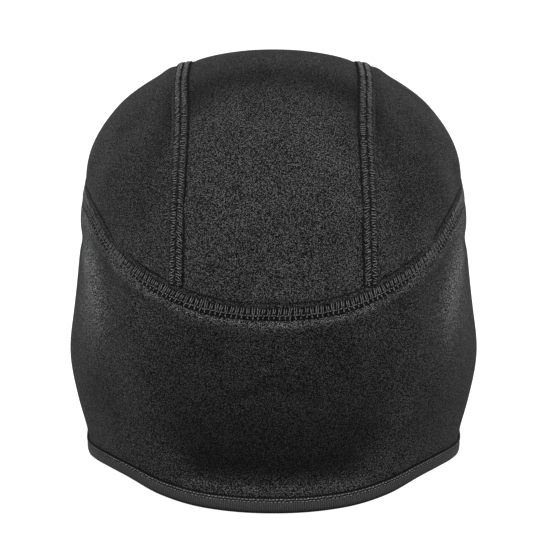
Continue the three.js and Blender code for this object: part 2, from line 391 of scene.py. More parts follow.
    def between(self, start: Points, end: Points, share: Values) -> Points:
        """Gives base form points part of the way from one point to another.

        Args:
            start: the first points.
            end: the last points.
            share: how far each point lies on its way, from 0 to 1.

        Returns:
            One point of the base form for each share.
        """
        a = unit(start - self.centre)
        b = unit(end - self.centre)
        angle = np.arccos(np.clip(np.sum(a * b, axis=1), -1.0, 1.0))
        near = np.sin((1 - share) * angle)[:, None]
        far = np.sin(share * angle)[:, None]
        return self.cast(self.centre, unit(a * near + b * far))

    def crown_end(self, x: Values, above: Values | float, is_front: bool) -> Values:
        """Finds the angle over the crown where the form is a set height above the band seam.

        Args:
            x: sideways places.
            above: the height above the band seam's line, for each place or for all.
            is_front: True for the forehead end, False for the nape end.

        Returns:
            One angle in radians for each place.
        """
        low = np.full(len(x), math.radians(self.over_top if is_front else self.over_back))
        high = np.full(len(x), math.radians(self.over_front if is_front else self.over_top))
        for _ in range(self.halvings):
            middle = (low + high) / 2
            points = self.over_crown(x, middle)
            is_above = self.seam_drop(self.turn_of(points)) - self.drop_of(points) > above
            keep_low = is_above if is_front else ~is_above
            low = np.where(keep_low, middle, low)
            high = np.where(keep_low, high, middle)
        return (low + high) / 2

    def turn_at(self, x: float, is_front: bool) -> float:
        """Finds the turn where the band seam's line lies at a sideways place.

        Args:
            x: the sideways place in millimetres.
            is_front: True for the forehead side, False for the nape side.

        Returns:
            The turn in radians.
        """
        low, high = 0.0, math.pi / 2
        for _ in range(self.halvings):
            middle = (low + high) / 2
            turn = np.array([math.pi - middle if is_front else middle])
            if self.at_turn(turn, self.seam_drop(turn))[0, 0] < x:
                low = middle
            else:
                high = middle
        return math.pi - low if is_front else low


@dataclass(frozen=True)
class WornRelief:
    """The fine relief of the worn cloth that only the dressed cap has, in millimetres, and the light
    and shade painted into its colour.
    """

    form: HeadForm
    groove_depth: float = 0.15
    groove_offset: float = 34.2
    groove_spread: float = 1.8
    lift_rise: float = 1.0
    lift_offset: float = 43.8
    lift_spread: float = 3.8
    seam_fade: tuple[float, float] = (2.0, 10.0)
    rim_rise: float = 0.75
    rim_spread: float = 1.7
    rim_offset: float = 5.9
    rim_turns: tuple[float, float] = (35.0, 62.0)
    hem_dip: float = 0.15
    hem_dip_offset: float = 6.6
    hem_dip_spread: float = 1.2
    # These paint light into the cloth's colour below the band seam and above the nape's hem, and
    # painted shade along the crease.
    rim_painted_light: float = 0.5
    nape_painted_light: float = 0.6
    nape_painted_light_offset: float = 6.9
    nape_painted_light_spread: float = 2.4
    nape_painted_light_turns: tuple[float, float] = (16.0, 30.0)
    crease_place: float = -29.5
    crease_curve: float = -0.0073
    crease_spread: float = 13.0
    crease_rise: float = -0.25
    crease_painted_shade: float = -0.46
    crease_ends: tuple[float, float] = (36.0, 52.0)
    painted_light_limits: tuple[float, float] = (0.28, 3.0)
    # A seventh number in a fold paints light into the colour where light falls on it, or painted shade
    # in hollows where it is less than zero.
    folds: tuple[Fold, ...] = (
        Fold(38, 0.12, 37, 0.28, 0.0, 11.0, -0.32),
        Fold(58, 0.14, 50, 0.27, 0.0, 13.0, -0.28),
        Fold(3, 0.44, 22, 0.27, 0.35, 4.0),
        Fold(12, 0.41, 26, 0.33, -0.3, 4.0),
        Fold(0, 0.455, 5, 0.462, 0.45, 2.6, 0.15),
        Fold(43, 0.4, 37, 0.5, 0.7, 8.0),
        Fold(37, 0.5, 34, 0.76, 0.8, 9.0),
        Fold(68, 0.38, 57, 0.54, 0.3, 12.0, 0.75),
        Fold(70, 0.345, 98, 0.34, -0.75, 8.0),
        Fold(13.6, 0.58, 17, 0.6, -0.2, 7.0, -0.12),
        Fold(0, 0.638, 2, 0.64, 0.3, 4.5, 0.15),
        Fold(0, 0.672, 10, 0.712, -0.3, 3.0, -0.15),
        Fold(0, 0.7, 11, 0.745, 0.3, 3.0, 0.02),
        Fold(0, 0.62, 26, 0.64, 0.0, 18.0, -0.28),
        Fold(0, 0.8, 22, 0.8, -0.3, 22.0, -0.3),
        Fold(0, 0.895, 20, 0.885, 0.0, 6.0, -0.35),
        Fold(0, 0.95, 25, 0.94, 0.25, 2.2, 0.5),
        Fold(33, 0.78, 32, 0.87, 0.0, 8.0, 0.3),
        Fold(56, 0.64, 48, 0.78, 0.0, 13.0, -0.2),
        Fold(61, 0.43, 53, 0.54, 0.0, 10.0, 1.0),
        Fold(66, 0.56, 55, 0.62, 0.0, 12.0, 0.6),
    )

    def crease(self, points: Points) -> Values:
        """Works out how near points lie to the soft crease across the back of the crown.

        Args:
            points: points of the base form.

        Returns:
            One share for each point, 1 on the crease.
        """
        x, y = points[:, 0], points[:, 1]
        behind = y - self.crease_place - self.crease_curve * x * x
        return swell(behind, self.crease_spread) * (1.0 - smooth_step(np.abs(x), *self.crease_ends))

    def at(self, points: Points) -> Values:
        """Works out the fine relief.

        Args:
            points: points of the base form.

        Returns:
            One rise in millimetres for each point.
        """
        form = self.form
        turn = form.turn_of(points)
        drop = form.drop_of(points)
        reach = np.hypot(points[:, 0], points[:, 1])
        aside = np.abs(points[:, 0])
        below = drop - form.seam_drop(turn)
        above_hem = form.hem_drop(turn) - drop
        rise = -self.groove_depth * swell(aside - self.groove_offset, self.groove_spread)
        rise += self.lift_rise * swell(aside - self.lift_offset, self.lift_spread)
        rise *= smooth_step(-below, *self.seam_fade)
        at_nape = 1.0 - smooth_step(np.abs(np.degrees(turn)), *self.rim_turns)
        rise += self.rim_rise * at_nape * swell(below - self.rim_offset, self.rim_spread)
        rise -= self.hem_dip * swell(above_hem - self.hem_dip_offset, self.hem_dip_spread)
        rise += self.crease_rise * self.crease(points)
        for fold in self.folds:
            rise += fold.rise * swell(form.fold_distance(fold, turn, drop, reach), fold.spread)
        return rise

    def tone(self, points: Points) -> Values:
        """Works out the light and shade painted into the cloth's colour.

        Args:
            points: points of the base form.

        Returns:
            One tone for each point: 1 where nothing is painted, more where light is painted and less
                where shade is painted.
        """
        turn = self.form.turn_of(points)
        drop = self.form.drop_of(points)
        reach = np.hypot(points[:, 0], points[:, 1])
        tone = np.ones(len(points))
        for fold in (*self.form.main_folds, *self.folds):
            distance = self.form.fold_distance(fold, turn, drop, reach)
            tone += fold.painted_light * swell(distance, fold.spread)
        below = drop - self.form.seam_drop(turn)
        # Painted highlights below the band seam's rim and above the nape's hem.
        tone += self.rim_painted_light * swell(below - self.rim_offset, self.rim_spread)
        at_nape = 1.0 - smooth_step(np.abs(np.degrees(turn)), *self.nape_painted_light_turns)
        tone += self.nape_painted_light * at_nape * swell(below - self.nape_painted_light_offset, self.nape_painted_light_spread)
        # Painted shade along the crease across the back of the crown.
        tone += self.crease_painted_shade * self.crease(points)
        return np.clip(tone, *self.painted_light_limits)


@dataclass
class Course:
    """A line over the form that a seam or the hem follows.

    Places on it are a share of its length along, millimetres across (upwards or towards the
    cap's middle) and millimetres of height above the cloth.
    """

    form: HeadForm
    side: Side = Side.RIGHT
    is_loop: bool = True
    stations: int = 1200
    shares: Values = field(init=False)
    steps: Values = field(init=False)
    base: Points = field(init=False)
    aside: Points = field(init=False)
    length: float = field(init=False)

    def __post_init__(self) -> None:
        """Measures the line once, so that places on it are quick to find."""
        self.steps = np.linspace(*self.limits(), self.stations)
        self.base = self.curve(self.steps)
        ahead = self.curve(self.steps + self.form.probe)
        behind = self.curve(self.steps - self.form.probe)
        self.aside = unit(np.cross(self.form.normal(self.base), ahead - behind))
        worn = self.form.stand_off(self.base, 0.0)
        runs = np.linalg.norm(np.diff(worn, axis=0), axis=1)
        self.shares = np.concatenate([[0.0], np.cumsum(runs)])
        self.length = float(self.shares[-1])
        self.shares /= self.length

    def limits(self) -> tuple[float, float]:
        """Gives the first and last step of the line."""
        return -math.pi, math.pi

    def curve(self, step: Values) -> Points:
        """Gives base form points of the line's middle."""
        raise NotImplementedError

    def step_at(self, along: Values, across: Values) -> Values:
        """Turns a share of the line's length into a step."""
        return np.interp(along, self.shares, self.steps)

    def place(self, along: Values, across: Values, height: Values) -> Points:
        """Finds places on and beside the line.

        Args:
            along: shares of the line's length. A loop takes them round.
            across: millimetres to the side.
            height: millimetres above the cloth.

        Returns:
            One point in millimetres for each place.
        """
        if self.is_loop:
            along = np.mod(along, 1.0)
        step = self.step_at(along, across)
        columns = [np.interp(step, self.steps, self.base[:, axis]) for axis in range(3)]
        asides = [np.interp(step, self.steps, self.aside[:, axis]) for axis in range(3)]
        start = np.stack(columns, axis=1)
        across_line = unit(np.stack(asides, axis=1)) * np.reshape(across, (-1, 1))
        points = self.form.stand_off(self.form.from_centre(start + across_line), height)
        points[:, 0] *= self.side.value
        return points


@dataclass
class BandSeamCourse(Course):
    """The line between crown and band, once round, which lies flatter at the ears."""

    ear_turn: float = 84.0
    ear_spread: float = 24.0
    ear_flatness: float = 0.45
    ear_sink: float = 0.55
    sink_spread: float = 17.0

    def place(self, along: Values, across: Values, height: Values) -> Points:
        """Finds places on and beside the line, flatter and lower near the ears.

        Args:
            along: shares of the line's length, taken round.
            across: millimetres to the side.
            height: millimetres above the cloth, before it is flattened.

        Returns:
            One point in millimetres for each place.
        """
        turn = np.abs(np.degrees(self.step_at(np.mod(along, 1.0), across)))
        pressed = 1.0 - self.ear_flatness * swell(turn - self.ear_turn, self.ear_spread)
        sunk = self.ear_sink * swell(turn - self.ear_turn, self.sink_spread)
        return super().place(along, across, height * pressed - sunk)

    def curve(self, step: Values) -> Points:
        """Gives the seam's middle at turns in radians."""
        turn = (step + math.pi) % (2 * math.pi) - math.pi
        return self.form.at_turn(turn, self.form.seam_drop(turn))


@dataclass
class HemCourse(Course):
    """The cap's lowest edge, once round."""

    def curve(self, step: Values) -> Points:
        """Gives the edge at turns in radians."""
        turn = (step + math.pi) % (2 * math.pi) - math.pi
        return self.form.at_turn(turn, self.form.hem_drop(turn))


@dataclass
class CrownSeamCourse(Course):
    """The line between two crown panels, from nape to forehead, which wavers a little."""

    is_loop: bool = False
    end_clearance: float = 2.5
    reach_aside: float = 5.0
    places_aside: int = 11
    sideways: Values = field(init=False)
    starts: Values = field(init=False)
    ends: Values = field(init=False)
    waver: ProfileCurve = ProfileCurve(
        (0, 0.085, 0.165, 0.22, 0.285, 0.37, 0.48, 0.6, 1),
        (-0.9, -0.6, -0.35, 0.1, 0.6, 0.2, -0.4, 0, 0),
    )

    def limits(self) -> tuple[float, float]:
        """Finds the angles over the crown where the seam and its two sides meet the band seam.

        Returns:
            The angles in radians at the nape and at the forehead.
        """
        self.sideways = np.linspace(-self.reach_aside, self.reach_aside, self.places_aside)
        turn = self.form.turn_at(self.form.crown_seam_offset, False)
        near = np.array([turn - self.form.probe, turn + self.form.probe])
        run = np.diff(self.form.at_turn(near, self.form.seam_drop(near)), axis=0)[0]
        slant = float(np.linalg.norm(run) / np.hypot(run[0], run[1]))
        clear = self.end_clearance * slant
        x = self.form.crown_seam_offset - self.sideways
        self.starts = self.form.crown_end(x, clear, False)
        self.ends = self.form.crown_end(x, clear, True)
        middle = len(x) // 2
        return float(self.starts[middle]), float(self.ends[middle])

    def curve(self, step: Values) -> Points:
        """Gives the seam's middle at angles over the crown."""
        return self.form.over_crown(np.full(len(step), self.form.crown_seam_offset), step)

    def place(self, along: Values, across: Values, height: Values) -> Points:
        """Finds places on and beside the line as it wavers."""
        return super().place(along, across + self.waver.at(along), height)

    def step_at(self, along: Values, across: Values) -> Values:
        """Turns a share of the length into an angle, with ends that follow the band seam.

        Args:
            along: shares of the line's length.
            across: millimetres to the side.

        Returns:
            One angle in radians for each place.
        """
        middle = np.interp(along, self.shares, self.steps)
        share = (middle - self.steps[0]) / (self.steps[-1] - self.steps[0])
        start = np.interp(across, self.sideways, self.starts)
        end = np.interp(across, self.sideways, self.ends)
        return start + (end - start) * share


def add_grid(name: str, columns: int, rows: int) -> bpy.types.Object:
    """Adds a flat grid of unit size, to be shaped into a sheet or a strip.

    Args:
        name: the piece's name.
        columns: faces along.
        rows: faces across.

    Returns:
        The new object, alone selected.
    """
    bpy.ops.object.select_all(action="DESELECT")
    bpy.ops.mesh.primitive_grid_add(x_subdivisions=columns, y_subdivisions=rows, size=1.0)
    piece = bpy.context.active_object
    piece.name = name
    piece.data.name = name
    return piece


def read_vertices(piece: bpy.types.Object) -> Points:
    """Reads a mesh's vertices.

    Args:
        piece: the piece.

    Returns:
        One row for each vertex, in the mesh's own units.
    """
    flat = np.empty(3 * len(piece.data.vertices))
    piece.data.vertices.foreach_get("co", flat)
    return flat.reshape(-1, 3)


def write_vertices(piece: bpy.types.Object, points: Points) -> None:
    """Writes points in millimetres to a mesh, in metres."""
    piece.data.vertices.foreach_set("co", (points * METRES).ravel())
    piece.data.update()


def write_tone(piece: bpy.types.Object, tone: Values) -> None:
    """Keeps how light a mesh's finish is at each vertex, for the material to read."""
    layer = piece.data.attributes.new(TONE, "FLOAT", "POINT")
    layer.data.foreach_set("value", tone.astype(np.float32))


def select_only(piece: bpy.types.Object) -> None:
    """Selects one piece alone and makes it active.

    Args:
        piece: the piece.
    """
    bpy.ops.object.select_all(action="DESELECT")
    piece.select_set(True)
    bpy.context.view_layer.objects.active = piece


def close_seams(piece: bpy.types.Object, is_solid: bool) -> None:
    """Merges vertices that meet, and turns a solid's faces outwards.

    Args:
        piece: the shaped piece.
        is_solid: True for a closed body, False for a single sheet.
    """
    select_only(piece)
    bpy.ops.object.mode_set(mode="EDIT")
    bpy.ops.mesh.select_all(action="SELECT")
    bpy.ops.mesh.remove_doubles(threshold=MERGE_DISTANCE)
    if is_solid:
        bpy.ops.mesh.normals_make_consistent(inside=False)
    bpy.ops.object.mode_set(mode="OBJECT")


def face_outwards(piece: bpy.types.Object, centre: Vector) -> None:
    """Flips a single sheet if its faces look towards the form's centre.

    Args:
        piece: the sheet.
        centre: the form's centre in metres.
    """
    outward = sum((face.center - centre).dot(face.normal) for face in piece.data.polygons)
    if outward < 0:
        select_only(piece)
        bpy.ops.object.mode_set(mode="EDIT")
        bpy.ops.mesh.select_all(action="SELECT")
        bpy.ops.mesh.flip_normals()
        bpy.ops.object.mode_set(mode="OBJECT")


def apply_modifier(piece: bpy.types.Object, kind: str, **settings: object) -> None:
    """Adds a modifier and applies it.

    Args:
        piece: the piece that it changes.
        kind: the modifier's type.
        settings: its properties by name.
    """
    select_only(piece)
    modifier = piece.modifiers.new(kind.title(), kind)
    for name, value in settings.items():
        setattr(modifier, name, value)
    bpy.ops.object.modifier_apply(modifier=modifier.name)


def finish_piece(piece: bpy.types.Object, material: bpy.types.Material) -> None:
    """Smooths a piece, gives it its finish and makes it ride on the cap.

    Args:
        piece: the finished mesh.
        material: its finish.
    """
    select_only(piece)
    bpy.ops.object.shade_smooth()
    piece.data.materials.clear()
    piece.data.materials.append(material)
    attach(piece, "root")
    LOG.info("%s: %d faces", piece.name, len(piece.data.polygons))


def lay_strip(name: str, course: Course, section: Points, mesh_step: float) -> bpy.types.Object:
    """Lays a strip with a closed section along a course.

    Args:
        name: the piece's name.
        course: the line that the strip follows.
        section: a row for each place round it: millimetres across, height and tone.
        mesh_step: how far apart its sections lie, in millimetres.

    Returns:
        The strip, whose first and last rows are still to be merged.
    """
    rows = len(section)
    piece = add_grid(name, round(course.length / mesh_step), rows)
    flat = read_vertices(piece) + 0.5
    row = np.round(flat[:, 1] * rows).astype(int) % rows
    write_vertices(piece, course.place(flat[:, 0], section[row, 0], section[row, 1]))
    write_tone(piece, section[row, 2])
    return piece


class NodeBench:
    """A material's node tree with short calls to add and join nodes."""

    def __init__(self, name: str) -> None:
        """Starts a material with its shader and object coordinates.

        Args:
            name: the material's name.
        """
        self.material = bpy.data.materials.new(name)
        self.material.use_nodes = True
        self.tree = self.material.node_tree
        self.shader = self.tree.nodes["Principled BSDF"]
        self.places = self.add("ShaderNodeTexCoord")

    def add(self, kind: str, **settings: object) -> bpy.types.Node:
        """Adds a node.

        Args:
            kind: the node's type.
            settings: its properties by name.

        Returns:
            The node.
        """
        node = self.tree.nodes.new(kind)
        for name, value in settings.items():
            setattr(node, name, value)
        return node

    def join(self, source: bpy.types.NodeSocket, target: bpy.types.NodeSocket) -> None:
        """Joins an output to an input."""
        self.tree.links.new(source, target)

    def noise(self, scale: float, detail: float, source: str = "Object") -> bpy.types.NodeSocket:
        """Adds a noise pattern.

        Args:
            scale: features in a metre.
            detail: how many finer layers it has.
            source: which coordinates it reads.

        Returns:
            The pattern's value from 0 to 1.
        """
        node = self.add("ShaderNodeTexNoise")
        node.inputs["Scale"].default_value = scale
        node.inputs["Detail"].default_value = detail
        self.join(self.places.outputs[source], node.inputs["Vector"])
        return node.outputs["Fac"]

    def maths(self, operation: str, first: object, second: object) -> bpy.types.NodeSocket:
        """Adds a math node.

        Args:
            operation: what it does with its two inputs.
            first: a socket or a number.
            second: a socket or a number.

        Returns:
            The result.
        """
        node = self.add("ShaderNodeMath", operation=operation)
        for socket, value in zip(node.inputs, (first, second)):
            if isinstance(value, (int, float)):
                socket.default_value = value
            else:
                self.join(value, socket)
        return node.outputs["Value"]

    def blend(
        self, first: bpy.types.NodeSocket, second: bpy.types.NodeSocket, share: float
    ) -> bpy.types.NodeSocket:
        """Adds a share of one value to the rest of another.

        Args:
            first: the value that gives the share.
            second: the value that gives the rest.
            share: how much of the first counts, from 0 to 1.

        Returns:
            The mixed value.
        """
        near = self.maths("MULTIPLY", first, share)
        far = self.maths("MULTIPLY", second, 1.0 - share)
        return self.maths("ADD", near, far)

    def ramp(
        self, source: bpy.types.NodeSocket, stops: tuple[tuple[float, tuple[float, ...]], ...]
    ) -> bpy.types.NodeSocket:
        """Turns a value into a colour.

        Args:
            source: the value.
            stops: places and colours of the ramp.

        Returns:
            The colour.
        """
        node = self.add("ShaderNodeValToRGB")
        elements = node.color_ramp.elements
        while len(elements) < len(stops):
            elements.new(0.5)
        for element, (place, colour) in zip(elements, stops):
            element.position = place
            element.color = (*colour, 1.0)
        self.join(source, node.inputs["Fac"])
        return node.outputs["Color"]

    def toned(self, colour: bpy.types.NodeSocket) -> bpy.types.NodeSocket:
        """Multiplies a colour by the tone kept on the piece's vertices.

        Args:
            colour: the finish's colour.

        Returns:
            The colour, lighter or darker from place to place.
        """
        kept = self.add("ShaderNodeAttribute", attribute_name=TONE)
        node = self.add("ShaderNodeVectorMath", operation="SCALE")
        self.join(colour, node.inputs[0])
        self.join(kept.outputs["Fac"], node.inputs["Scale"])
        return node.outputs["Vector"]

    def bump(self, height: bpy.types.NodeSocket, strength: float, distance: float) -> None:
        """Puts a height pattern on the shader as a bump.

        Args:
            height: the pattern.
            strength: how much of the bump shows, from 0 to 1.
            distance: how deep it is in metres.
        """
        node = self.add("ShaderNodeBump")
        node.inputs["Strength"].default_value = strength
        node.inputs["Distance"].default_value = distance
        self.join(height, node.inputs["Height"])
        self.join(node.outputs["Normal"], self.shader.inputs["Normal"])

    def surface(self, roughness: float, specular: float, sheen: float) -> None:
        """Sets how the surface shines, each value from 0 to 1.

        Args:
            roughness: how matt it is.
            specular: how glossy it is.
            sheen: how much its fleece catches the light.
        """
        self.shader.inputs["Roughness"].default_value = roughness
        self.shader.inputs["Specular IOR Level"].default_value = specular
        self.shader.inputs["Sheen Weight"].default_value = sheen


@dataclass(frozen=True)
class KnitFinish:
    """Brushed softshell knit: matt charcoal with a fine fleecy grain and faint cloudiness."""

    name: str = "softshell_knit"
    dark: tuple[float, float, float] = (0.001, 0.001, 0.0011)
    middle: tuple[float, float, float] = (0.0079, 0.0079, 0.0081)
    light: tuple[float, float, float] = (0.066, 0.066, 0.0675)
    stops: tuple[float, float, float] = (0.4, 0.5, 0.62)
    grain_per_metre: float = 2700.0
    grain_share: float = 0.8
    fibre_per_metre: float = 1500.0
    cloud_per_metre: float = 45.0
    cloud_share: float = 0.08
    roughness: float = 0.85
    specular: float = 0.08
    sheen: float = 0.02
    sheen_roughness: float = 0.6
    bump_strength: float = 1.0
    bump_depth: float = 0.0003

    def build(self) -> bpy.types.Material:
        """Makes the material.

        Returns:
            The material, whose tone follows the piece's vertices.
        """
        bench = NodeBench(self.name)
        grain = bench.noise(self.grain_per_metre, 0.0)
        fibre = bench.noise(self.fibre_per_metre, 1.0)
        cloud = bench.noise(self.cloud_per_metre, 3.0)
        pile = bench.blend(grain, fibre, self.grain_share)
        drift = bench.maths("MULTIPLY", bench.maths("SUBTRACT", cloud, 0.5), self.cloud_share)
        mixed = bench.maths("ADD", pile, drift)
        colours = (self.dark, self.middle, self.light)
        colour = bench.ramp(mixed, tuple(zip(self.stops, colours)))
        # The tone on the vertices multiplies the colour; it holds painted light and shade.
        bench.join(bench.toned(colour), bench.shader.inputs["Base Color"])
        bench.surface(self.roughness, self.specular, self.sheen)
        bench.shader.inputs["Sheen Roughness"].default_value = self.sheen_roughness
        bench.bump(pile, self.bump_strength, self.bump_depth)
        return bench.material


@dataclass(frozen=True)
class ThreadFinish:
    """Textured cover-stitch thread, a little glossier than the knit."""

    name: str
    dark: tuple[float, float, float]
    light: tuple[float, float, float]
    stops: tuple[float, float] = (0.35, 0.65)
    fibre_per_metre: float = 2200.0
    roughness: float = 0.7
    specular: float = 0.15
    sheen: float = 0.02
    bump_strength: float = 0.4
    bump_depth: float = 0.0001

    def build(self) -> bpy.types.Material:
        """Makes the material.

        Returns:
            The material.
        """
        bench = NodeBench(self.name)
        fibre = bench.noise(self.fibre_per_metre, 2.0)
        colour = bench.ramp(fibre, tuple(zip(self.stops, (self.dark, self.light))))
        bench.join(colour, bench.shader.inputs["Base Color"])
        bench.surface(self.roughness, self.specular, self.sheen)
        bench.bump(fibre, self.bump_strength, self.bump_depth)
        return bench.material


@dataclass(frozen=True)
class RibFinish:
    """Ribbed elastic binding, with fine ribs that run over the edge and painted shade in their grooves.
    """

    name: str = "ribbed_binding"
    dark: tuple[float, float, float] = (0.012, 0.012, 0.0123)
    light: tuple[float, float, float] = (0.05, 0.05, 0.051)
    stops: tuple[float, float] = (0.3, 0.75)
    ribs: int = 620
    rib_height: float = 0.35
    rib_share: float = 0.4
    fibre_per_metre: float = 2600.0
    roughness: float = 0.8
    specular: float = 0.12
    sheen: float = 0.02
    bump_strength: float = 0.6
    bump_depth: float = 0.0002

    def build(self) -> bpy.types.Material:
        """Makes the material, with its ribs on the piece's own map.

        Returns:
            The material, whose tone follows the piece's vertices.
        """
        bench = NodeBench(self.name)
        split = bench.add("ShaderNodeSeparateXYZ")
        bench.join(bench.places.outputs["UV"], split.inputs["Vector"])
        turns = bench.maths("MULTIPLY", split.outputs["X"], self.ribs * 2 * math.pi)
        wave = bench.maths("SINE", turns, 0.0)
        rib = bench.maths("ADD", bench.maths("MULTIPLY", wave, self.rib_height), 0.5)
        fibre = bench.noise(self.fibre_per_metre, 1.0)
        height = bench.blend(rib, fibre, self.rib_share)
        # The colour follows the rib's height, so the grooves between ribs get painted shade.
        colour = bench.ramp(height, tuple(zip(self.stops, (self.dark, self.light))))
        bench.join(bench.toned(colour), bench.shader.inputs["Base Color"])
        bench.surface(self.roughness, self.specular, self.sheen)
        bench.bump(height, self.bump_strength, self.bump_depth)
        return bench.material


@dataclass
class ClothPanels:
    """The four cut panels: one over the middle of the crown, two beside it, and the band."""

    form: HeadForm
    relief: WornRelief
    material: bpy.types.Material
    hem: HemCourse
    mesh_step: float = 1.35
    centre_run: tuple[float, float] = (270.0, 78.0)
    side_run: tuple[float, float] = (190.0, 76.0)
    band_run: tuple[float, float] = (560.0, 96.0)
    hem_places: int = 721
    hem_tuck: float = 1.1
    centre_flat: tuple[float, float] = (0.079, 0.254)
    side_flat: tuple[float, float] = (0.075, 0.190)
    side_area: float = 0.0095
    band_flat: tuple[float, float] = (0.120, 0.560)
    band_area: float = 0.0546

    def sheet(self, name: str, node: str, shape: Callable[[Values, Values], Points],
              run: tuple[float, float]) -> bpy.types.Object:
        """Makes one panel: a grid laid over the form, then given the cloth's thickness.

        Args:
            name: the piece's name.
            node: the solid that it stands for.
            shape: gives base form points for shares along and across the panel.
            run: the panel's rough length and width, for the mesh's fineness.

        Returns:
            The finished panel.
        """
        piece = add_grid(name, *(round(size / self.mesh_step) for size in run))
        flat = read_vertices(piece) + 0.5
        base = shape(flat[:, 0], flat[:, 1])
        write_vertices(piece, self.form.stand_off(base, self.relief.at(base)))
        # The tone holds painted light and shade that follows the folds, rims and crease.
        write_tone(piece, self.relief.tone(base))
        close_seams(piece, is_solid=False)
        face_outwards(piece, Vector(self.form.centre * METRES))
        apply_modifier(piece, "SOLIDIFY", thickness=self.form.cloth * METRES, offset=-1.0)
        finish_piece(piece, self.material)
        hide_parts(node)
        return piece

    def centre_shape(self, along: Values, across: Values) -> Points:
        """Gives the shape of the centre panel, between the two crown seams.

        Args:
            along: shares of the way from nape to forehead.
            across: shares of the way from left to right.

        Returns:
            One point of the base form for each place.
        """
        half = self.form.crown_seam_offset - self.form.panel_gap / 2
        columns = np.unique(np.round(across, 7))
        x = half * (2 * columns - 1)
        above = self.form.panel_gap / 2
        start = np.interp(across, columns, self.form.crown_end(x, above, False))
        end = np.interp(across, columns, self.form.crown_end(x, above, True))
        return self.form.over_crown(half * (2 * across - 1), start + (end - start) * along)

    def side_shape(self, side: Side) -> Callable[[Values, Values], Points]:
        """Gives the shape of a side panel, between its crown seam and the band seam.

        Args:
            side: which of the two panels.

        Returns:
            A function from shares along and across the panel to base form points.
        """
        form = self.form
        tip = form.seam_width / 4
        edge = np.array([form.crown_seam_offset + form.panel_gap / 2])
        top_start = form.crown_end(edge, tip + form.panel_gap / 2, False)[0]
        top_end = form.crown_end(edge, tip + form.panel_gap / 2, True)[0]
        low_start = form.turn_at(form.crown_seam_offset + tip, False)
        low_end = form.turn_at(form.crown_seam_offset + tip, True)

        def shape(along: Values, across: Values) -> Points:
            """Gives the panel's points.

            Args:
                along: shares of the way from nape to forehead.
                across: shares of the way from the upper to the lower edge.

            Returns:
                One point of the base form for each place.
            """
            angle = top_start + (top_end - top_start) * along
            upper = form.over_crown(np.full(len(angle), edge[0]), angle)
            turn = low_start + (low_end - low_start) * along
            lower = form.at_turn(turn, form.seam_drop(turn) - form.panel_gap / 2)
            points = form.between(upper, lower, across)
            points[:, 0] *= side.value
            return points

        return shape

    def band_shape(self, along: Values, across: Values) -> Points:
        """Gives the shape of the band, which ends inside the binding.

        Args:
            along: shares of the way once round from the forehead.
            across: shares of the way from seam to hem.

        Returns:
            One point of the base form for each place.
        """
        turn = 2 * math.pi * along - math.pi
        top = self.form.seam_drop(turn) + self.form.panel_gap / 2
        steps = np.linspace(0.0, 1.0, self.hem_places)
        edge = self.hem.place(steps, np.full_like(steps, self.hem_tuck), np.zeros_like(steps))
        order = np.argsort(self.form.turn_of(edge))
        bottom = np.interp(
            turn, self.form.turn_of(edge)[order], self.form.drop_of(edge)[order],
            period=2 * math.pi,
        )
        return self.form.at_turn(turn, top + (bottom - top) * across)

    def build(self) -> list[bpy.types.Object]:
        """Returns:
            The centre panel, the side panels and the band.
        """
        centre = self.sheet(
            "crown_centre_cloth", "crown_centre_panel", self.centre_shape, self.centre_run
        )
        sides = []
        for side in Side:
            label = side.name.lower()
            panel = self.sheet(
                f"crown_side_cloth_{label}", f"crown_side_panel_{label}",
                self.side_shape(side), self.side_run,
            )
            sides.append(panel)
        band = self.sheet("band_cloth", "lower_band", self.band_shape, self.band_run)
        return [centre, *sides, band]


@dataclass(frozen=True)
class StitchRow:
    """A row of like stitches along a seam, in millimetres.

    Across is the row's middle and lean is how far a stitch slants along the seam. Drift is how
    much each stitch strays from its place, and sway how unlike the stitches are.
    """

    name: str
    lie: Lie
    pitch: float
    length: float
    radius: float
    across: float
    height: float
    lean: float = 0.0
    drift: float = 0.06
    shift: float = 0.0
    flatness: float = 0.8
    sway: float = 0.3
    # A hole row is near black: painted shade in needle holes and gaps between stitches.
    is_hole_shade: bool = False


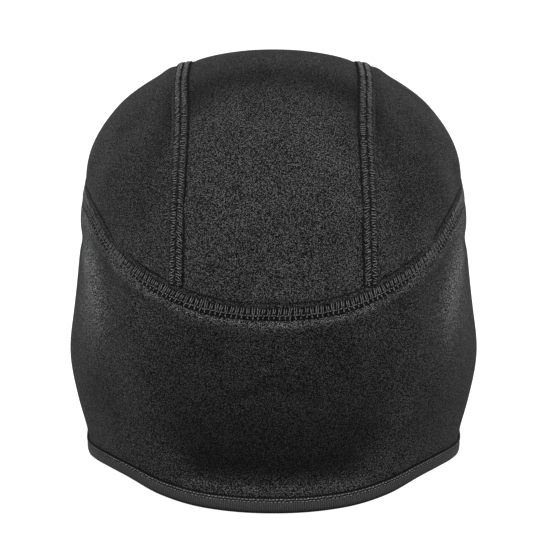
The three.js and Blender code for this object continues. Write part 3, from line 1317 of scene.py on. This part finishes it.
@dataclass
class StitchMaker:
    """Makes rows of stitches: one stitch is modelled and repeated, and the row is laid."""

    sides: int = 6
    rings: int = 6
    seed: int = 7

    def lay_row(self, row: StitchRow, course: Course, material: bpy.types.Material) -> bpy.types.Object:
        """Makes one row of stitches on a course.

        Args:
            row: what the stitches are like.
            course: the line that they follow.
            material: their finish.

        Returns:
            The row as one piece.
        """
        count = round(course.length / row.pitch)
        pitch = course.length / count
        bpy.ops.object.select_all(action="DESELECT")
        bpy.ops.mesh.primitive_uv_sphere_add(segments=self.sides, ring_count=self.rings, radius=1.0)
        piece = bpy.context.active_object
        piece.name = row.name
        piece.data.name = row.name
        bpy.ops.object.mode_set(mode="EDIT")
        bpy.ops.mesh.select_all(action="SELECT")
        turned = (0, math.pi / 2, 0) if row.lie is Lie.ALONG else (math.pi / 2, 0, 0)
        bpy.ops.transform.resize(value=(row.radius, row.radius, row.length / 2))
        bpy.ops.object.mode_set(mode="OBJECT")
        piece.rotation_euler = turned
        bpy.ops.object.transform_apply(location=False, rotation=True, scale=False)
        stitch = len(piece.data.vertices)
        apply_modifier(
            piece, "ARRAY", fit_type="FIXED_COUNT", count=count,
            use_relative_offset=False, use_constant_offset=True,
            constant_offset_displace=(pitch, 0.0, 0.0),
        )
        flat = read_vertices(piece).reshape(count, stitch, 3)
        # Each stitch strays by four numbers: along, across, up with its slant, and in width.
        stray = np.random.default_rng(self.seed + count).uniform(-1, 1, (count, 4, 1))
        along = flat[:, :, 0] + stray[:, 0] * row.drift + row.shift + pitch / 2
        across = flat[:, :, 1] * (1.0 + stray[:, 3] * row.sway / 2) + stray[:, 1] * row.drift
        height = flat[:, :, 2] * row.flatness + stray[:, 2] * row.drift / 2
        along = along + across * (row.lean + row.sway * stray[:, 2]) / max(row.length, row.radius)
        along = along.ravel() / course.length
        if not course.is_loop:
            along = np.clip(along, 0.0, 1.0)
        write_vertices(
            piece, course.place(along, across.ravel() + row.across, height.ravel() + row.height)
        )
        finish_piece(piece, material)
        return piece

    def lay_rows(self, rows: tuple[StitchRow, ...], course: Course, thread: bpy.types.Material,
                 hole_shade: bpy.types.Material) -> list[bpy.types.Object]:
        """Makes the rows of one seam.

        Args:
            rows: what the stitches of each row are like.
            course: the line that they follow.
            thread: the finish of stitches.
            hole_shade: the near-black finish put in needle holes and gaps between stitches, as painted
                shade.

        Returns:
            One piece for each row.
        """
        return [
            self.lay_row(row, course, hole_shade if row.is_hole_shade else thread) for row in rows
        ]


@dataclass
class CoveredSeam:
    """A raised strip over the joint of two panels, with its rows of stitches."""

    name: str
    node: str
    course: Course
    section: tuple[tuple[float, float, float], ...]
    rows: tuple[StitchRow, ...]
    ground: bpy.types.Material
    thread: bpy.types.Material
    hole_shade: bpy.types.Material
    mesh_step: float = 1.2

    def strip(self) -> bpy.types.Object:
        """Makes the strip, closed underneath and at its ends.

        Returns:
            The strip.
        """
        piece = lay_strip(self.name, self.course, np.array(self.section), self.mesh_step)
        if not self.course.is_loop:
            self.fill_ends(piece)
        close_seams(piece, is_solid=True)
        finish_piece(piece, self.ground)
        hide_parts(self.node)
        return piece

    def fill_ends(self, piece: bpy.types.Object) -> None:
        """Closes the two open ends of a strip.

        Args:
            piece: the strip.
        """
        close_seams(piece, is_solid=False)
        select_only(piece)
        bpy.ops.object.mode_set(mode="EDIT")
        bpy.ops.mesh.select_mode(type="EDGE")
        bpy.ops.mesh.select_all(action="DESELECT")
        bpy.ops.mesh.select_non_manifold()
        bpy.ops.mesh.fill_holes(sides=0)
        bpy.ops.mesh.select_mode(type="VERT")
        bpy.ops.object.mode_set(mode="OBJECT")

    def build(self, maker: StitchMaker) -> list[bpy.types.Object]:
        """Makes the strip and its rows of stitches.

        Args:
            maker: makes the rows.

        Returns:
            All pieces of the seam.
        """
        strip = self.strip()
        stitches = maker.lay_rows(self.rows, self.course, self.thread, self.hole_shade)
        return [strip, *stitches]


@dataclass
class HemBinding:
    """The ribbed binding folded round the lower edge, with its stitches and near-black pieces in their
    holes as painted shade.
    """

    course: HemCourse
    cloth: float
    tape: bpy.types.Material
    thread: bpy.types.Material
    hole_shade: bpy.types.Material
    mesh_step: float = 1.0
    pocket_room: float = 0.15
    flat: tuple[float, float] = (0.0145, 0.560)

    def section(self) -> Points:
        """Gives the closed section: outer face, fold, inner face and the pocket for the band.

        Returns:
            A row for each place round it: height above the hem's line, offset and tone.
        """
        middle = -self.cloth / 2
        inside = [(rise, 2 * middle - offset, tone) for rise, offset, tone in reversed(HEM_FACE)]
        back = -self.cloth - self.pocket_room
        pocket = [
            (5.8, back, 0.1), (0.95, back, 0.1), (0.95, self.pocket_room, 0.1), (5.8, -0.45, 0.1),
        ]
        # The fold at the lowest edge is near black, painted shade under the binding.
        return np.array([*HEM_FACE, (-0.45, middle, 0.02), *inside, *pocket])

    def build(self, maker: StitchMaker) -> list[bpy.types.Object]:
        """Makes the binding and its stitches.

        Args:
            maker: makes the rows.

        Returns:
            The binding and its rows.
        """
        piece = lay_strip("hem_tape", self.course, self.section(), self.mesh_step)
        close_seams(piece, is_solid=True)
        finish_piece(piece, self.tape)
        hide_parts("hem_binding")
        rows = maker.lay_rows(HEM_ROWS, self.course, self.thread, self.hole_shade)
        return [piece, *rows]


# A row of a section holds millimetres across, height above the cloth and tone. The tone keeps the tapes
# darker than the panels, paints shade in the grooves along their edges and underneath them, and
# paints highlights on some raised lines. A stitch row holds its name and lie, then its pitch,
# length, radius, place across and height in millimetres.
CROWN_SECTION = (
    (-3.6, 0.0, 0.8), (-3.0, 0.5, 0.9), (-2.4, 0.85, 0.9), (-1.8, 1.05, 0.8), (-1.5, 1.05, 0.5),
    (-1.2, 1.2, 1.1), (-0.8, 1.2, 0.3), (0.2, 1.05, 0.3), (0.55, 0.9, 0.8), (0.8, 0.75, 0.4),
    (1.1, 0.72, 0.4), (1.4, 0.75, 0.9), (1.8, 0.72, 0.3), (2.8, 0.55, 0.3), (3.2, 0.5, 1.1),
    (3.6, 0.35, 0.8), (3.9, 0.2, 0.3), (4.3, 0.08, 0.2), (4.6, 0.0, 0.5),
    (3.0, -0.1, 0.1), (0.5, -0.1, 0.1), (-2.2, -0.1, 0.1),
)
CROWN_ROWS = (
    StitchRow(
        "outer_bars", Lie.ACROSS, 1.1, 1.8, 0.26, -0.3, 1.14, lean=0.7, drift=0.22, sway=0.9
    ),
    StitchRow(
        "outer_gaps", Lie.ACROSS, 1.1, 1.2, 0.22, -0.3, 1.16, lean=0.5, drift=0.25, shift=0.55,
        sway=0.9, is_hole_shade=True,
    ),
    StitchRow(
        "inner_bars", Lie.ACROSS, 1.1, 1.9, 0.26, 2.3, 0.64, lean=-0.7, drift=0.22, sway=0.9
    ),
    StitchRow(
        "inner_gaps", Lie.ACROSS, 1.1, 1.2, 0.22, 2.3, 0.66, lean=-0.5, drift=0.25, shift=0.55,
        sway=0.9, is_hole_shade=True,
    ),
    StitchRow("outer_holes", Lie.ALONG, 1.1, 0.75, 0.24, -1.5, 1.05, drift=0.15, is_hole_shade=True),
    StitchRow(
        "middle_holes", Lie.ALONG, 1.1, 0.8, 0.3, 0.95, 0.78, drift=0.28, shift=0.5, is_hole_shade=True
    ),
    StitchRow("inner_holes", Lie.ALONG, 1.1, 0.8, 0.28, 3.85, 0.24, drift=0.2, is_hole_shade=True),
)
BAND_SECTION = (
    (-4.4, -0.1, 0.1), (-4.2, 0.05, 0.04), (-3.9, 0.2, 0.04), (-3.6, 0.45, 0.2),
    (-3.1, 0.6, 0.2), (-2.4, 0.5, 0.1), (-2.1, 0.6, 0.3), (-1.8, 0.75, 0.85), (-1.4, 0.65, 0.1),
    (-0.4, 0.7, 0.1), (0.8, 0.7, 0.1), (1.3, 0.78, 0.6), (2.2, 0.7, 0.75), (2.5, 0.5, 0.6),
    (2.8, 0.3, 0.25), (3.1, 0.15, 0.25), (3.3, 0.0, 0.5), (2.0, -0.1, 0.1),
    (0.0, -0.1, 0.1), (-2.4, -0.1, 0.1),
)
BAND_ROWS = (
    StitchRow("tall_bars", Lie.ACROSS, 2.1, 2.9, 0.27, -0.35, 0.82, lean=0.2, drift=0.15, sway=0.5),
    StitchRow(
        "tall_bars_beside", Lie.ACROSS, 2.1, 2.6, 0.24, -0.35, 0.8, lean=0.4, drift=0.15,
        shift=0.8, sway=0.5,
    ),
    StitchRow("dots", Lie.ALONG, 1.05, 0.75, 0.25, -1.95, 0.85, drift=0.15),
    StitchRow("short_bars", Lie.ACROSS, 2.1, 1.3, 0.28, -2.9, 0.7, shift=0.3, drift=0.15, sway=0.5),
    StitchRow(
        "upper_holes", Lie.ALONG, 1.6, 1.1, 0.24, 2.95, 0.3, drift=0.25, shift=0.4, is_hole_shade=True
    ),
)
# The hem face's tone is near black in the groove above the binding and along its lower edge, painted
# shade.
HEM_FACE = (
    (6.6, -0.3, 0.02), (6.45, 0.02, 0.02), (6.0, 0.05, 0.02), (5.9, 0.5, 0.3), (5.75, 0.72, 1.0),
    (5.2, 0.78, 1.0), (4.8, 0.72, 0.9), (4.4, 0.74, 0.9), (4.0, 0.9, 1.0), (3.2, 1.05, 1.0),
    (2.4, 1.1, 1.0), (1.6, 1.08, 1.0), (0.8, 0.9, 0.7), (0.35, 0.7, 0.2), (0.15, 0.54, 0.03),
    (-0.25, 0.1, 0.02),
)
HEM_ROWS = (
    StitchRow(
        "hem_stitches_upper", Lie.ALONG, 1.6, 1.15, 0.22, 5.6, 0.86, drift=0.12, sway=0.5
    ),
    StitchRow(
        "hem_stitches_lower", Lie.ALONG, 1.6, 1.0, 0.2, 4.6, 0.84, drift=0.15, shift=0.8, sway=0.5
    ),
    StitchRow(
        "hem_stitch_holes", Lie.ALONG, 1.6, 1.1, 0.22, 5.12, 0.84, drift=0.15, shift=0.6,
        is_hole_shade=True,
    ),
)


@dataclass(frozen=True)
class FloorFinish:
    """Matt pale floor with faint patches, whose own glow keeps it white in the picture."""

    name: str = "pale_floor"
    dark: tuple[float, float, float] = (0.1, 0.1, 0.1)
    light: tuple[float, float, float] = (0.12, 0.12, 0.12)
    stops: tuple[float, float] = (0.3, 0.7)
    patches_per_metre: float = 6.0
    roughness: float = 0.9
    glow: float = 1.0

    def build(self) -> bpy.types.Material:
        """Makes the material.

        Returns:
            The material.
        """
        bench = NodeBench(self.name)
        cloud = bench.noise(self.patches_per_metre, 2.0)
        colour = bench.ramp(cloud, tuple(zip(self.stops, (self.dark, self.light))))
        bench.join(colour, bench.shader.inputs["Base Color"])
        bench.shader.inputs["Roughness"].default_value = self.roughness
        bench.shader.inputs["Emission Color"].default_value = (1.0, 1.0, 1.0, 1.0)
        bench.shader.inputs["Emission Strength"].default_value = self.glow
        return bench.material


@dataclass(frozen=True)
class Softbox:
    """A square soft light that looks at the cap.

    Turn is in degrees from the camera's side towards the right, rise in degrees above the cap's
    middle, size its width in metres and power in watts.
    """

    name: str
    turn: float
    rise: float
    size: float
    power: float


@dataclass
class Studio:
    """The pale floor, soft lights and camera."""

    distance: float = 1.3
    elevation: float = 14.0
    aim: tuple[float, float, float] = (0.00082, 0.0, -0.09477)
    lens: float = 197.9
    sensor: float = 36.0
    clip_start: float = 0.01
    gamma: float = 0.8
    floor_size: float = 14.0
    floor_sides: int = 96
    floor_drop: float = 0.0012
    light_distance: float = 2.0
    wall_tops: tuple[float, float] = (0.1, 0.3)
    wall_glow: float = 1.0
    ceiling_glow: float = 0.1
    softboxes: tuple[Softbox, ...] = (
        Softbox("key_softbox", 0.0, 58.0, 1.1, 98.0),
        Softbox("left_softbox", -88.0, 14.0, 0.9, 20.0),
        Softbox("right_softbox", 88.0, 14.0, 0.9, 20.0),
    )

    def build_floor(self, lowest: float) -> None:
        """Lays a plain pale floor under the cap.

        Args:
            lowest: the height of the solids' lowest point.
        """
        bpy.ops.object.select_all(action="DESELECT")
        bpy.ops.mesh.primitive_circle_add(
            vertices=self.floor_sides, radius=self.floor_size / 2, fill_type="NGON",
            location=(0, 0, lowest - self.floor_drop),
        )
        floor = bpy.context.active_object
        floor.name = "floor"
        floor.data.materials.append(FloorFinish().build())

    def add_softbox(self, box: Softbox) -> None:
        """Adds one soft light.

        Args:
            box: where it stands and how strong it is.
        """
        angle, height = math.radians(box.turn), math.radians(box.rise)
        level = math.cos(height)
        direction = Vector((math.sin(angle) * level, -math.cos(angle) * level, math.sin(height)))
        place = Vector(self.aim) + direction * self.light_distance
        bpy.ops.object.select_all(action="DESELECT")
        bpy.ops.object.light_add(type="AREA", location=place)
        light = bpy.context.active_object
        light.name = box.name
        light.data.energy = box.power
        light.data.size = box.size
        light.rotation_euler = (-direction).to_track_quat("-Z", "Y").to_euler()

    def build_lights(self) -> None:
        """Lights the cap softly from above and, lower down, from both sides."""
        for box in self.softboxes:
            self.add_softbox(box)
        self.build_surroundings()

    def build_surroundings(self) -> None:
        """Surrounds the studio with pale walls under a dim ceiling."""
        world = bpy.context.scene.world or bpy.data.worlds.new("studio")
        bpy.context.scene.world = world
        world.use_nodes = True
        tree = world.node_tree
        places = tree.nodes.new("ShaderNodeTexCoord")
        split = tree.nodes.new("ShaderNodeSeparateXYZ")
        walls = tree.nodes.new("ShaderNodeMapRange")
        walls.inputs["From Min"].default_value = self.wall_tops[0]
        walls.inputs["From Max"].default_value = self.wall_tops[1]
        walls.inputs["To Min"].default_value = self.wall_glow
        walls.inputs["To Max"].default_value = self.ceiling_glow
        tree.links.new(places.outputs["Generated"], split.inputs["Vector"])
        tree.links.new(split.outputs["Z"], walls.inputs["Value"])
        background = tree.nodes["Background"]
        background.inputs["Color"].default_value = (1.0, 1.0, 1.0, 1.0)
        tree.links.new(walls.outputs["Result"], background.inputs["Strength"])

    def build_camera(self) -> None:
        """Puts the camera at the photograph's angle."""
        tilt = math.radians(self.elevation)
        place = Vector(self.aim) + Vector(
            (0.0, -self.distance * math.cos(tilt), self.distance * math.sin(tilt))
        )
        bpy.ops.object.select_all(action="DESELECT")
        bpy.ops.object.camera_add(location=place)
        camera = bpy.context.active_object
        camera.name = "camera"
        camera.rotation_euler = (Vector(self.aim) - place).to_track_quat("-Z", "Y").to_euler()
        camera.data.lens = self.lens
        camera.data.sensor_width = self.sensor
        camera.data.sensor_height = self.sensor
        camera.data.clip_start = self.clip_start
        bpy.context.scene.camera = camera
        bpy.context.scene.view_settings.view_transform = "Standard"
        bpy.context.scene.view_settings.gamma = self.gamma


def main() -> None:
    """Builds the cap piece by piece, then the studio."""
    logging.basicConfig(level=logging.INFO, format="%(name)s %(message)s")
    form = HeadForm()
    knit = KnitFinish().build()
    # Near-black pieces in needle holes and stitch gaps paint their shade.
    painted_hole_shade = ThreadFinish("painted_hole_shade", (0.001, 0.001, 0.001), (0.003, 0.003, 0.003)).build()
    cover_thread = ThreadFinish("cover_thread", (0.038, 0.038, 0.0387), (0.14, 0.14, 0.143)).build()
    band_thread = ThreadFinish("band_thread", (0.033, 0.033, 0.0336), (0.12, 0.12, 0.1225)).build()
    hem_thread = ThreadFinish("hem_thread", (0.06, 0.06, 0.061), (0.17, 0.17, 0.172)).build()
    hem = HemCourse(form)
    ClothPanels(form, WornRelief(form), knit, hem).build()
    maker = StitchMaker()
    for side in Side:
        label = side.name.lower()
        rows = tuple(replace(row, name=f"crown_{row.name}_{label}") for row in CROWN_ROWS)
        CoveredSeam(
            f"crown_seam_strip_{label}", f"crown_seam_{label}",
            CrownSeamCourse(form, side=side), CROWN_SECTION, rows, knit, cover_thread, painted_hole_shade,
        ).build(maker)
    rows = tuple(replace(row, name=f"band_{row.name}") for row in BAND_ROWS)
    CoveredSeam(
        "band_seam_strip", "band_seam", BandSeamCourse(form), BAND_SECTION, rows,
        knit, band_thread, painted_hole_shade,
    ).build(maker)
    HemBinding(hem, form.cloth, RibFinish().build(), hem_thread, painted_hole_shade).build(maker)
    studio = Studio()
    studio.build_floor(CAD_BOX[0][2])
    studio.build_lights()
    studio.build_camera()


if __name__ == "__main__":
    main()
